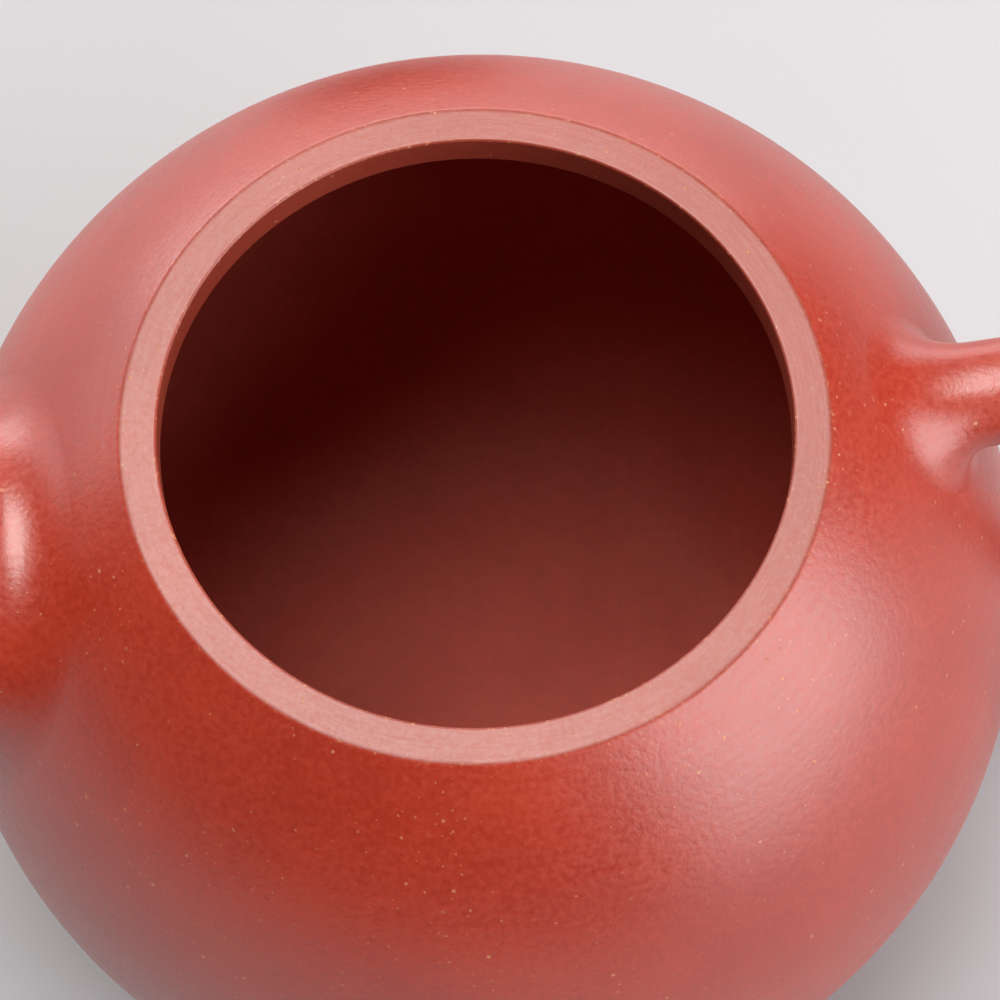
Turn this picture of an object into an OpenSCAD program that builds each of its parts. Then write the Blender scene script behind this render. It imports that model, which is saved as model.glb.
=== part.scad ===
// Round red clay teapot with a loose lid, in millimetres.
// The origin is the centre of the flat base, +Z is up, the spout points to -X and the handle to +X.
// The lid lies upside down on the table behind the pot, resting on its knob and its edge.

/* [Body] */
// Outer radius of the body at its widest level
body_r = 40; // [36:0.5:46]
// Height of the widest level above the table
belly_z = 31; // [29:0.5:33]
// Radius of the round side, which is a little tighter than the crown
side_r = 36; // [34:0.5:37]
// Half of the height that the whole round form would have without its cuts
half_h = 38; // [37:0.25:39]
// Thickness of the beaten clay wall
wall_t = 2.6; // [2:0.1:3]
// Thickness of the base disc
base_t = 2.8; // [2:0.1:3.5]
// Radius of the slip fillet pressed into the inner corner of the base
base_fillet_r = 14; // [10:0.5:16]

/* [Mouth] */
// Radius of the cut mouth
mouth_r = 21.3; // [20:0.1:22]
// Outer radius of the flat cut face round the mouth
mouth_face_r = 23.8; // [23:0.1:25]
// Height of the upright wall of the mouth
mouth_wall_h = 3; // [2.5:0.1:3.4]

/* [Spout] */
// Level of the spout's root, as the angle of the wall's normal above level
spout_root_angle = 25; // [20:0.5:27]
// Rise of the spout's axis above level
spout_rise = 50; // [40:1:55]
// Distance of the tube's first section from the wall, along the spout
spout_start = 6; // [5:0.5:8]
// Outer radius of the tube where the root flare meets it
spout_low_r = 9.5; // [9:0.1:10]
// Outer radius of the tube at the tip, which is cut level with the mouth
spout_tip_r = 5.6; // [5:0.1:6]
// Thickness of the spout's wall where the tube starts
spout_wall = 2.2; // [1.8:0.1:2.5]
// Thickness of the spout's lip
spout_lip = 1.6; // [1.3:0.1:2]
// Radius of the pierced strainer
strainer_r = 7; // [6:0.1:7.5]
// Radius of one strainer hole
strainer_hole_r = 1.1; // [0.8:0.05:1.3]

/* [Handle] */
// Level of the upper root, as the angle of the wall's normal above level
handle_top_angle = 38.5; // [36:0.5:42]
// Level of the lower root, below level
handle_low_angle = -20; // [-26:0.5:-14]
// Farthest reach of the handle's centre line from the pot's axis
handle_reach = 65; // [58:1:70]
// Half width of the strap at its upper end
strap_top_w = 3.8; // [3:0.1:4.2]
// Half width of the strap at its lower end
strap_low_w = 3.1; // [2.6:0.1:3.8]
// Half thickness of the strap as a share of its half width
strap_flatness = 0.8; // [0.7:0.05:1]

/* [Lid] */
// Gap between the lid's collar and the mouth, all round
lid_gap = 0.25; // [0.2:0.05:0.4]
// Radius of the lid's edge
lid_r = 23.7; // [23.5:0.1:23.8]
// Thickness of the flat plate under the dome
lid_plate_t = 1.5; // [1.2:0.1:2]
// Thickness of the collar
collar_t = 2.4; // [2:0.1:3]
// Depth of the collar below the plate
collar_h = 4.2; // [3.5:0.1:5]
// Radius of the ball knob
knob_r = 6; // [5.5:0.1:6.5]
// Height of the knob's centre above the dome
knob_lift = 5.6; // [5:0.1:6.5]
// Radius of the knob's neck
knob_neck_r = 3.6; // [3:0.1:4]
// Radius of the hollow round the neck's foot
knob_root_r = 2; // [1.5:0.1:2.4]
// Radius of the vent hole
vent_r = 1; // [0.7:0.1:1.2]

/* [Hidden] */
$fn = 96;
fine_fn = 360;
root_fn = 120;
far = 100;
clay = "#ab3f30";
clay_dark = "#9a372a";
clay_cut = "#c0584a";

ring_n = 32;

// The section of the body is an oval of tangent arcs: a side arc of side_r on each side and a
// crown arc of crown_r above and below. They meet where the wall's normal stands at join_angle.
side_x = body_r - side_r;
join_angle = 90 - 2 * atan((half_h - side_r) / side_x);
crown_r = side_r + side_x / cos(join_angle);
crown_z = belly_z - side_x * tan(join_angle);
keel_z = belly_z + side_x * tan(join_angle);
mouth_z = crown_z + sqrt(crown_r ^ 2 - mouth_face_r ^ 2);

// A point of the body's outer surface, or off it, where the wall's normal rises by up and turns
// to az.
function wall_arc_r(up) = abs(up) > join_angle ? crown_r : side_r;
function wall_r(up) = (abs(up) > join_angle ? 0 : side_x) + wall_arc_r(up) * cos(up);
function wall_z(up) =
    (abs(up) <= join_angle ? belly_z : up > 0 ? crown_z : keel_z) + wall_arc_r(up) * sin(up);
function wall_point(up, az, off = 0) =
    let (r = wall_r(up) + off * cos(up))
    [r * cos(az), r * sin(az), wall_z(up) + off * sin(up)];

function unit(v) = v / norm(v);
function mix(a, b, t) = a + (b - a) * t;
function sum(v, i = 0) = i < len(v) - 1 ? v[i] + sum(v, i + 1) : v[i];
function mean(points) = sum(points) / len(points);

// Cubic curve from a to b that leaves along da and arrives along db.
function hermite(a, da, b, db, t) =
    (2 * t ^ 3 - 3 * t ^ 2 + 1) * a + (t ^ 3 - 2 * t ^ 2 + t) * da
    + (3 * t ^ 2 - 2 * t ^ 3) * b + (t ^ 3 - t ^ 2) * db;
function bezier(p, t) =
    (1 - t) ^ 3 * p[0] + 3 * (1 - t) ^ 2 * t * p[1] + 3 * (1 - t) * t ^ 2 * p[2] + t ^ 3 * p[3];
function bezier_slope(p, t) =
    3 * (1 - t) ^ 2 * (p[1] - p[0]) + 6 * (1 - t) * t * (p[2] - p[1]) + 3 * t ^ 2 * (p[3] - p[2]);

// Faces between neighbouring rings of ring_n points, in two triangles a cell.
function side_faces(ring_count, looped) =
    [for (i = [0 : ring_count - (looped ? 1 : 2)], j = [0 : ring_n - 1])
        let (a = i * ring_n, b = ((i + 1) % ring_count) * ring_n, k = (j + 1) % ring_n)
        each [[a + j, b + j, b + k], [a + j, b + k, a + k]]];
// Fans that close the first and the last ring to the two points after them.
function end_faces(ring_count) =
    [for (j = [0 : ring_n - 1])
        let (k = (j + 1) % ring_n, last = (ring_count - 1) * ring_n, centre = ring_count * ring_n)
        each [[centre, j, k], [centre + 1, last + k, last + j]]];

// A closed solid through a list of rings, with an end at the first and the last.
module closed_tube(rings) {
    count = len(rings);
    ends = [mean(rings[0]), mean(rings[count - 1])];
    polyhedron(concat([for (ring = rings) each ring], ends),
        concat(side_faces(count, false), end_faces(count)));
}
// A hollow solid whose list of rings runs out along it, back through it and round to the start.
module hollow_tube(rings)
    polyhedron([for (ring = rings) each ring], side_faces(len(rings), true));

// One section of a tube: an ellipse of half width w across it and half thickness h.
function section(centre, out, az, w, h) =
    let (across = [-sin(az), cos(az), 0], rise = cross(out, across))
    [for (i = [0 : ring_n - 1]) let (a = i * 360 / ring_n)
        centre + w * cos(a) * across + h * sin(a) * rise];

// A closed curve on the body round the root at (up, az). It reaches w to each side round the
// body and h up and down it, in millimetres along the surface.
function foot_ring(up, az, w, h) =
    [for (i = [0 : ring_n - 1])
        let (a = i * 360 / ring_n, u = up + h * sin(a) / side_r * 180 / PI)
        wall_point(u, az + w * cos(a) / wall_r(u) * 180 / PI, foot_play)];

// A point's place by the body: the rise of the wall's normal, the turn from az and the height
// off the wall.
function by_wall(p, az) =
    let (r = norm([p[0], p[1]]), side = atan2(p[2] - belly_z, r - side_x),
        centre = abs(side) <= join_angle ? [side_x, belly_z] : [0, side > 0 ? crown_z : keel_z],
        reach = [r, p[2]] - centre)
    [atan2(reach[1], reach[0]),
        atan2(cos(az) * p[1] - sin(az) * p[0], cos(az) * p[0] + sin(az) * p[1]),
        norm(reach) - wall_arc_r(side)];

// Rings that sweep from a tube's section out onto the body and end tangent to its surface. The
// tube widens by taper for each millimetre towards the body. The sweep runs in places by the
// wall, and its first pull is held back so that its height stays above nothing.
function flare_rings(tube, out, taper, up, az, w, h) =
    let (foot = foot_ring(up, az, w, h), inner = foot_ring(up, az, w * 0.96, h * 0.96),
        centre = mean(tube), nudge = 0.01)
    [for (s = [0 : flare_steps]) [for (i = [0 : ring_n - 1])
        let (from = by_wall(tube[i], az), to = by_wall(foot[i], az),
            leave = taper * unit(tube[i] - centre) - out,
            go = (by_wall(tube[i] + nudge * leave, az) - from) / nudge,
            land = (to - by_wall(inner[i], az)) / norm(foot[i] - inner[i]),
            span = norm(foot[i] - tube[i]) * flare_pull,
            first = min(span, go[2] < 0 ? -2.7 * from[2] / go[2] : span),
            at = hermite(from, go * first, to, land * span, s / flare_steps))
        wall_point(at[0], az + at[1], at[2])]];
flare_steps = 8;
flare_pull = 1.1;
// Room between a foot's facets and the round wall, so that they don't cut into it
foot_play = 0.035;

// ---- Body ----

// A slice of a section, between two directions from a centre.
module wedge(centre, from, to)
    polygon(concat([centre], [for (a = [from, (from + to) / 2, to])
        centre + far * [cos(a), sin(a)]]));
module wall_arc(centre, r, from, to)
    intersection() {
        translate(centre) difference() {
            circle(r);
            circle(r - wall_t);
        }
        wedge(centre, from, to);
    }
module round_of_crown(z, r) translate([0, 0, z]) sphere(r);
// Turns a shape's +Z to the direction that rises by rise over the spout's side.
module on_spout(rise) translate(wall_point(spout_root_angle, 180)) rotate([0, rise - 90, 0]) children();

module base_disc()
    color(clay_dark) intersection() {
        round_of_crown(keel_z, crown_r);
        cylinder(r = body_r, h = base_t);
    }

// The fillet's arc runs from the floor to the wall, and crosses both a little under the tangent.
module base_seam_fillet() {
    arc_z = base_t + base_fillet_r;
    arc_x = sqrt((crown_r - wall_t - base_fillet_r) ^ 2 - (keel_z - arc_z) ^ 2);
    bite = 0.15;
    color(clay_dark) rotate_extrude($fn = fine_fn) difference() {
        intersection() {
            translate([0, keel_z]) circle(crown_r - wall_t, $fn = fine_fn);
            translate([0, base_t]) square(far);
            wedge([arc_x, arc_z], -90, atan2(arc_z - keel_z, arc_x));
        }
        translate([arc_x - bite, arc_z]) circle(base_fillet_r - bite / 2, $fn = fine_fn);
    }
}

module body_wall()
    color(clay) difference() {
        rotate_extrude() {
            wall_arc([side_x, belly_z], side_r, -join_angle, join_angle);
            intersection() {
                wall_arc([0, keel_z], crown_r, -90, -join_angle);
                translate([0, base_t]) square(far);
            }
        }
        on_spout(spout_root_angle) cylinder(r = strainer_r, h = 2 * wall_t + 4, center = true);
    }

module shoulder_slab()
    color(clay) rotate_extrude() intersection() {
        wall_arc([0, crown_z], crown_r, join_angle, 90);
        translate([mouth_r, 0]) square([far, mouth_z]);
    }

// A bead under the slab's edge, which makes the mouth's upright wall deeper than the slab.
module mouth_ring()
    color(clay_cut) rotate_extrude($fn = fine_fn) intersection() {
        translate([0, crown_z]) circle(crown_r - wall_t, $fn = fine_fn);
        translate([mouth_r, mouth_z - mouth_wall_h]) square([far, mouth_wall_h]);
    }

// ---- Spout ----

module strainer_disc() {
    ring_holes = 8;
    ring_r = strainer_r * 0.62;
    color(clay_dark) difference() {
        intersection() {
            rotate_extrude() wall_arc([side_x, belly_z], side_r, -join_angle, join_angle);
            on_spout(spout_root_angle) cylinder(r = strainer_r, h = 2 * wall_t + 4, center = true);
        }
        on_spout(spout_root_angle) for (i = [0 : ring_holes])
            rotate(i * 360 / ring_holes) translate([i < ring_holes ? ring_r : 0, 0])
                cylinder(r = strainer_hole_r, h = 4 * wall_t, center = true);
    }
}

spout_out = [-cos(spout_rise), 0, sin(spout_rise)];
spout_root_point = wall_point(spout_root_angle, 180);
spout_axis_len = (mouth_z - spout_root_point[2]) / sin(spout_rise);
spout_taper = (spout_low_r - spout_tip_r) / (spout_axis_len - spout_start);
// The root's foot on the body: half width round the body, half height along it
spout_foot = [14.5, 13.4];

module spout_root() {
    start = spout_root_point + spout_start * spout_out;
    inner_r = spout_low_r - spout_wall;
    outer_end = section(start, spout_out, 180, spout_low_r, spout_low_r);
    inner_end = section(start, spout_out, 180, inner_r, inner_r);
    window = foot_ring(spout_root_angle, 180, strainer_r, strainer_r);
    under = [for (s = [1 : 6]) let (size = mix(spout_foot, [strainer_r, strainer_r], s / 6))
        foot_ring(spout_root_angle, 180, size[0], size[1])];
    channel = [for (s = [1 : 4]) mix(window, inner_end, s / 4)];
    color(clay) hollow_tube(concat(
        flare_rings(outer_end, spout_out, spout_taper, spout_root_angle, 180,
            spout_foot[0], spout_foot[1]),
        under, channel));
}

// The tube runs past the mouth's level, and is cut off there.
module spout_tube() {
    past = spout_axis_len + 2 * spout_tip_r;
    outer_r = spout_tip_r - spout_taper * (past - spout_axis_len);
    inner_low_r = spout_low_r - spout_wall;
    inner_tip_r = spout_tip_r - spout_lip;
    inner_r = mix(inner_low_r, inner_tip_r, (past - spout_start) / (spout_axis_len - spout_start));
    color(clay) intersection() {
        on_spout(spout_rise) rotate_extrude() polygon([
            [spout_low_r, spout_start], [outer_r, past], [inner_r, past], [inner_low_r, spout_start]]);
        translate([-far, -far, 0]) cube([2 * far, 2 * far, mouth_z]);
    }
}

// ---- Handle ----

// The strap's centre line is two curves that meet at the farthest point out.
handle_top = wall_point(handle_top_angle, 0);
handle_low = wall_point(handle_low_angle, 0);
handle_far = [handle_reach, 0, belly_z + 4];
handle_leave = 14 * [cos(6), 0, sin(6)];
handle_fall = [4, 0, -17];
upper_curve = [handle_top, handle_top + handle_leave, handle_far - handle_fall, handle_far];
lower_curve = [handle_far, handle_far + 0.75 * handle_fall, handle_low + [20, 0, -8], handle_low];
// Where the strap's two ends leave the flares, along each curve
strap_from = 0.08;
strap_to = 0.95;
strap_steps = 20;
handle_top_foot = [7, 6.8];
handle_low_foot = [5.8, 6];

function strap_point(t) = t < 1 ? bezier(upper_curve, t) : bezier(lower_curve, t - 1);
function strap_slope(t) = unit(t < 1 ? bezier_slope(upper_curve, t) : bezier_slope(lower_curve, t - 1));
function strap_w(t) = mix(strap_top_w, strap_low_w, (t - strap_from) / (1 + strap_to - strap_from));
function strap_section(t, way = 1) =
    section(strap_point(t), way * strap_slope(t), 0, strap_w(t), strap_flatness * strap_w(t));

module handle_strap()
    color(clay) closed_tube([for (s = [0 : 2 * strap_steps])
        strap_section(mix(strap_from, 1 + strap_to, s / (2 * strap_steps)))]);

module handle_root(tube, out, up, foot)
    color(clay) closed_tube(concat(
        flare_rings(tube, out, 0, up, 0, foot[0], foot[1]),
        [for (share = [0.8, 0.6, 0.4, 0.2, 0.05]) foot_ring(up, 0, share * foot[0], share * foot[1])]));
module handle_upper_root()
    handle_root(strap_section(strap_from), strap_slope(strap_from), handle_top_angle, handle_top_foot);
module handle_lower_root()
    handle_root(strap_section(1 + strap_to, -1), -strap_slope(1 + strap_to),
        handle_low_angle, handle_low_foot);

// ---- Lid ----

// The lid is drawn seated and then laid down. Lying on its back it rests on the ball knob and on
// the edge of its plate, which tilts it by lie_tilt. It swings there round a level axis behind
// the pot, at the height of the middle of the mouth's wall, so it leaves the mouth upright.
dome_top_z = crown_z + crown_r;
knob_z = dome_top_z + knob_lift;
knob_h = knob_z - mouth_z;
lie_tilt = atan(knob_h / lid_r) + asin(knob_r / norm([knob_h, lid_r]));
swing_z = mouth_z - mouth_wall_h / 2;
lying_z = lid_r * sin(lie_tilt) + mouth_wall_h / 2 * cos(lie_tilt);
swing_y = (swing_z - lying_z) / sin(lie_tilt);
swing_angle = 180 + lie_tilt;
seat_gap = 0.05;

module laid_down()
    translate([0, swing_y, swing_z]) rotate([-swing_angle, 0, 0]) translate([0, -swing_y, -swing_z])
        children();
module vent() translate([0, 0, mouth_z]) cylinder(r = vent_r, h = far);

module lid_dome()
    color(clay) laid_down() difference() {
        intersection() {
            round_of_crown(crown_z, crown_r);
            translate([0, 0, mouth_z + lid_plate_t]) cylinder(r = lid_r, h = far);
        }
        round_of_crown(crown_z, crown_r - wall_t);
        vent();
    }

module lid_plate()
    color(clay_cut) laid_down() intersection() {
        round_of_crown(crown_z, crown_r);
        translate([0, 0, mouth_z + seat_gap]) difference() {
            cylinder(r = lid_r, h = lid_plate_t - seat_gap);
            cylinder(r = mouth_r - lid_gap - collar_t, h = far, center = true);
        }
    }

module lid_collar()
    color(clay_cut) laid_down() translate([0, 0, mouth_z + seat_gap - collar_h]) difference() {
        cylinder(r = mouth_r - lid_gap, h = collar_h);
        cylinder(r = mouth_r - lid_gap - collar_t, h = 3 * collar_h, center = true);
    }

module lid_knob()
    color(clay) laid_down() difference() {
        union() {
            translate([0, 0, knob_z]) sphere(knob_r);
            translate([0, 0, dome_top_z - 1]) cylinder(r = knob_neck_r, h = knob_z - dome_top_z);
        }
        round_of_crown(crown_z, crown_r);
        vent();
    }

// A concave ring of slip between the knob's neck and the dome.
module knob_root() {
    arc_x = knob_neck_r + knob_root_r;
    arc_z = crown_z + sqrt(crown_r ^ 2 - arc_x ^ 2) + knob_root_r - 0.05;
    color(clay) laid_down() rotate_extrude($fn = root_fn) difference() {
        translate([knob_neck_r, dome_top_z - 1]) square([knob_root_r, arc_z - dome_top_z + 1]);
        translate([arc_x, arc_z]) circle(knob_root_r, $fn = root_fn);
        translate([0, crown_z]) circle(crown_r, $fn = 8 * root_fn);
        translate([0, knob_z]) circle(knob_r, $fn = root_fn);
    }
}

base_disc();
base_seam_fillet();
body_wall();
shoulder_slab();
mouth_ring();
strainer_disc();
spout_root();
spout_tube();
handle_strap();
handle_upper_root();
handle_lower_root();
lid_dome();
lid_plate();
lid_collar();
lid_knob();
knob_root();
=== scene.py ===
"""Looks of the round red clay teapot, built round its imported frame.

Shapes are worked out in millimetres and degrees, with +Z up, the spout at -X and the handle at +X.
Meshes are in metres.
"""

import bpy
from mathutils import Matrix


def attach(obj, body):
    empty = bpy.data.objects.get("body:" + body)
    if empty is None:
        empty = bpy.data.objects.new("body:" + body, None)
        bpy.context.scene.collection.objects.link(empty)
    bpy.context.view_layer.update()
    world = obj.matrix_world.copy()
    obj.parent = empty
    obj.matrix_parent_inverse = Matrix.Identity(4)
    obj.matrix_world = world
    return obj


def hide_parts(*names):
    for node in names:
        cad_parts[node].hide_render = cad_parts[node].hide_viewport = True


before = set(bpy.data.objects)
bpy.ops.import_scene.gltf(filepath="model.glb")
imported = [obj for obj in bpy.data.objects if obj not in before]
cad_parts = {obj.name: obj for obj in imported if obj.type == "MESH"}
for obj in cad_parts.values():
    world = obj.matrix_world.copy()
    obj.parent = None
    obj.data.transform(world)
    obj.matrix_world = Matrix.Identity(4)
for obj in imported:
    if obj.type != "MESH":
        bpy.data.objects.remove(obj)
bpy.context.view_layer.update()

import math

import bpy
import numpy as np
from bpy.props import FloatProperty, FloatVectorProperty, PointerProperty
from mathutils import Matrix, Vector

bl_info = {
    "name": "Red clay teapot",
    "version": (1, 0, 0),
    "blender": (4, 5, 0),
    "location": "3D View > Sidebar > Teapot",
    "description": "Builds the clay surfaces of a round teapot and the stage it stands on",
    "category": "Object",
}

MM = 0.001

# ---- Sizes shared with the frame, in millimetres and degrees ----

SIDE_X = 4.0
SIDE_R = 36.0
CROWN_R = 41.0
BELLY_Z = 31.0
CROWN_Z = 28.0
KEEL_Z = 34.0
JOIN = math.degrees(math.acos(SIDE_X / (CROWN_R - SIDE_R)))
WALL_T = 2.6
INNER_R = CROWN_R - WALL_T
BASE_T = 2.8
BASE_FILLET_R = 14.0

MOUTH_R = 21.3
MOUTH_FACE_R = 23.8
MOUTH_WALL_H = 3.0
MOUTH_Z = CROWN_Z + math.sqrt(CROWN_R**2 - MOUTH_FACE_R**2)

SPOUT_UP = 25.0
SPOUT_AZ = 180.0
SPOUT_RISE = 50.0
SPOUT_START = 6.0
SPOUT_LOW_R = 9.5
SPOUT_TIP_R = 5.6
SPOUT_WALL = 2.2
SPOUT_LIP = 1.6
SPOUT_FOOT = (15.2, 14.6)
SPOUT_LANDING = 0.9
STRAINER_R = 7.0

HANDLE_TOP_UP = 38.5
HANDLE_LOW_UP = -20.0
HANDLE_REACH = 65.0
# The handle's line: its far end's height over the belly, the pull and rise it leaves with, its
# fall past the far end, that fall's share below it, and the pull it comes back with
HANDLE_END_LIFT = 4
HANDLE_LEAVE = 14
HANDLE_LEAVE_UP = 6
HANDLE_FALL = (4.0, 0.0, -17.0)
HANDLE_LOW_FALL = 0.75
HANDLE_RETURN = (20, 0, -8)
HANDLE_FROM = 0.08
HANDLE_TO = 1.95
STRAP_TOP_W = 3.8
STRAP_LOW_W = 3.1
STRAP_FLATNESS = 0.8
HANDLE_TOP_FOOT = (7.0, 6.8)
HANDLE_LOW_FOOT = (5.8, 6.0)

# Roundings of the bead, the foot, the lid's rim, its collar outside and inside, and the vent
BEAD_EDGE = 0.45
FOOT_EDGE = 0.7
RIM_EDGE = 0.2
COLLAR_EDGES = (0.6, 0.8)
VENT_EDGE = 0.35

LID_R = 23.7
LID_GAP = 0.25
LID_PLATE_T = 1.5
COLLAR_T = 2.4
COLLAR_H = 4.2
SEAT_GAP = 0.05
KNOB_R = 6.0
KNOB_LIFT = 5.6
KNOB_NECK_R = 3.6
KNOB_ROOT_R = 2.0
VENT_R = 1.0
DOME_TOP_Z = CROWN_Z + CROWN_R
KNOB_Z = DOME_TOP_Z + KNOB_LIFT

# Where the slab's inner face meets the upright cut
SLAB_LOW_Z = CROWN_Z + math.sqrt(INNER_R**2 - MOUTH_R**2)

COLUMNS = 360
TUBE_COLUMNS = 128
# Edges that turn by more than this stay crisp; every rounded edge turns in smaller steps
SHARP_ANGLE = 35
# How many points into a rounded edge the finish changes
INTO_EDGE = 2
# A flare: how far its foot lies under the clay it lands on, the inner copy of its foot that gives
# the way it lands, its pulls as a share of its run, and how fast it may fall towards the wall
FOOT_DIP = 0.01
FOOT_INNER = 0.96
FLARE_PULL = 1.1
FLARE_FALL = 2.7
# How much of a position along a stroke the rubbed lines follow, so that they drift a little
STROKE_DRIFT = 0.05


# ---- Small maths on whole arrays ----


def cosd(angle):
    return np.cos(np.radians(angle))


def sind(angle):
    return np.sin(np.radians(angle))


def asind(share):
    return math.degrees(math.asin(share))


def acosd(share):
    return math.degrees(math.acos(share))


def turns(columns):
    """Angles of that many even steps round a full turn."""
    return np.arange(columns) * 360 / columns


def mix(a, b, t):
    return a + (b - a) * t


def smooth(t):
    """An S-shaped step: 0 below 0, 1 above 1, and 3t^2 - 2t^3 between."""
    t = np.clip(t, 0.0, 1.0)
    return t * t * (3.0 - 2.0 * t)


def length(v):
    return np.linalg.norm(v, axis=-1, keepdims=True)


def unit(v):
    return v / length(v)


def stack(x, y, z):
    return np.stack(np.broadcast_arrays(x, y, z), axis=-1)


def hermite(a, da, b, db, t):
    """The cubic from a to b that leaves along da and arrives along db."""
    return (
        (2 * t**3 - 3 * t**2 + 1) * a
        + (t**3 - 2 * t**2 + t) * da
        + (3 * t**2 - 2 * t**3) * b
        + (t**3 - t**2) * db
    )


def round_corner(before, corner, after, radius, steps=6):
    """Points of the arc of that radius that touches both legs of a corner of a profile."""
    leg_in = unit(np.subtract(before, corner))
    leg_out = unit(np.subtract(after, corner))
    half = math.acos(float(np.dot(leg_in, leg_out))) / 2
    start = corner + leg_in * radius / math.tan(half)
    end = corner + leg_out * radius / math.tan(half)
    centre = corner + unit(leg_in + leg_out) * radius / math.sin(half)
    spread = math.pi - 2 * half
    t = np.linspace(0, 1, steps)[:, None]
    weights = np.sin((1 - t) * spread), np.sin(t * spread)
    return centre + (weights[0] * (start - centre) + weights[1] * (end - centre)) / math.sin(spread)


# ---- The body's surface ----


def wall_arc(up):
    """Radius and centre (r, z) of the section's arc whose normal rises by up."""
    side = np.abs(up) <= JOIN
    centre_z = np.where(side, BELLY_Z, np.where(up > 0, CROWN_Z, KEEL_Z))
    return np.where(side, SIDE_R, CROWN_R), np.where(side, SIDE_X, 0.0), centre_z


def wall_point(up, az, off=0.0):
    """The point off the body's surface where the normal rises by up and turns to az.

    r = centre + (radius + off) cos up and z = centre + (radius + off) sin up, turned round Z.
    """
    up = np.asarray(up, dtype=float)
    radius, centre_r, centre_z = wall_arc(up)
    r = centre_r + (radius + off) * cosd(up)
    return stack(r * cosd(az), r * sind(az), centre_z + (radius + off) * sind(up))


def hand_wobble(up, az, depth):
    """How far the hand-beaten wall lies inside its true round, from 0 to depth.

    Three long waves round the pot, faded out at the mouth, the base and the spout's window.
    """
    waves = sind(2 * az + 3 * up) + sind(3 * az - 2 * up + 70) + 0.7 * sind(5 * az + 5 * up + 200)
    near_edge = smooth((50 - up) / 14) * smooth((up + 48) / 10)
    from_window = np.hypot(up - SPOUT_UP, (np.mod(az, 360) - SPOUT_AZ) * 0.95)
    return depth * (0.5 + waves / 5.4) * near_edge * smooth((from_window - 13) / 12)


def clay_wall(up, az, off=0.0):
    """The outer surface with the hand's unevenness on it."""
    depth = bpy.context.scene.teapot_shape.wobble
    return wall_point(up, az, off - hand_wobble(up, az, depth))


def by_wall(p, az):
    """Places by the wall: the normal's rise, the turn from az and the height off the surface."""
    r = np.hypot(p[..., 0], p[..., 1])
    side = np.degrees(np.arctan2(p[..., 2] - BELLY_Z, r - SIDE_X))
    radius, centre_r, centre_z = wall_arc(side)
    reach_r = r - centre_r
    reach_z = p[..., 2] - centre_z
    turn = np.arctan2(
        cosd(az) * p[..., 1] - sind(az) * p[..., 0], cosd(az) * p[..., 0] + sind(az) * p[..., 1]
    )
    return stack(
        np.degrees(np.arctan2(reach_z, reach_r)), np.degrees(turn), np.hypot(reach_r, reach_z) - radius
    )


def foot_places(up, az, w, h, around):
    """A closed curve of places by the wall that reaches w to the sides and h up and down."""
    rise = up + np.degrees(h * sind(around) / SIDE_R)
    r = np.hypot(*np.moveaxis(wall_point(rise, az), -1, 0)[:2])
    return stack(rise, np.degrees(w * cosd(around) / r), 0.0)


def from_places(places, az):
    return clay_wall(places[..., 0], az + places[..., 1], places[..., 2])


def flare(tube, out, taper, up, az, foot, around, steps, landing=1.0):
    """Rings from a tube's end out onto the body, where they end along its surface.

    Each is a cubic in places by the wall. It leaves along the tube, which widens by taper, and
    lands with no slope of its own; its first pull is held back so that it stays above the wall.
    The wall's unevenness comes in towards the foot, so that the tube's end stays true.
    """
    start = by_wall(tube, az)
    end = foot_places(up, az, *foot, around)
    inner = foot_places(up, az, FOOT_INNER * foot[0], FOOT_INNER * foot[1], around)
    foot_point = wall_point(end[:, 0], az + end[:, 1])
    inner_point = wall_point(inner[:, 0], az + inner[:, 1])
    leave = taper * unit(tube - tube.mean(axis=0)) - out
    nudge = 0.01
    go = (by_wall(tube + nudge * leave, az) - start) / nudge
    land = (end - inner) / length(foot_point - inner_point)
    span = FLARE_PULL * length(foot_point - tube)
    down = np.minimum(go[:, 2:], -1e-9)
    falling = np.where(go[:, 2:] < 0, -FLARE_FALL * start[:, 2:] / down, span)
    first = np.minimum(span, falling)
    end[:, 2] -= FOOT_DIP
    t = np.linspace(0, 1, steps + 1)[:, None, None]
    places = hermite(start, go * first, end, land * landing * span, t)
    true = wall_point(places[..., 0], az + places[..., 1], places[..., 2])
    return mix(true, from_places(places, az), smooth(t))


# ---- Meshes ----


def grid_triangles(rows, columns, wrap_rows=False, wrap_columns=True, first=0):
    """Two triangles for each cell of a grid of points numbered row by row."""
    i, j = np.meshgrid(
        np.arange(rows if wrap_rows else rows - 1),
        np.arange(columns if wrap_columns else columns - 1),
        indexing="ij",
    )
    next_i = (i + 1) % rows
    next_j = (j + 1) % columns
    a = i * columns + j
    b = next_i * columns + j
    c = next_i * columns + next_j
    d = i * columns + next_j
    cells = np.stack([a, b, c, a, c, d], axis=-1)
    return cells.reshape(-1, 3) + first


def welded(points, triangles, kinds):
    """Merges points that lie at the same place, and drops the triangles that this empties."""
    keys = np.round(points / 1e-5).astype(np.int64)
    _, kept, where = np.unique(keys, axis=0, return_index=True, return_inverse=True)
    triangles = where.reshape(-1)[triangles]
    a, b, c = triangles.T
    whole = (a != b) & (b != c) & (c != a)
    return kept, triangles[whole], kinds[whole]


def faced_outwards(points, triangles):
    """Turns a closed surface's triangles so that the volume they enclose is positive."""
    a, b, c = (points[triangles[:, k]] for k in range(3))
    volume = np.einsum("ij,ij->i", a, np.cross(b, c)).sum()
    return triangles if volume > 0 else triangles[:, ::-1]


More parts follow.
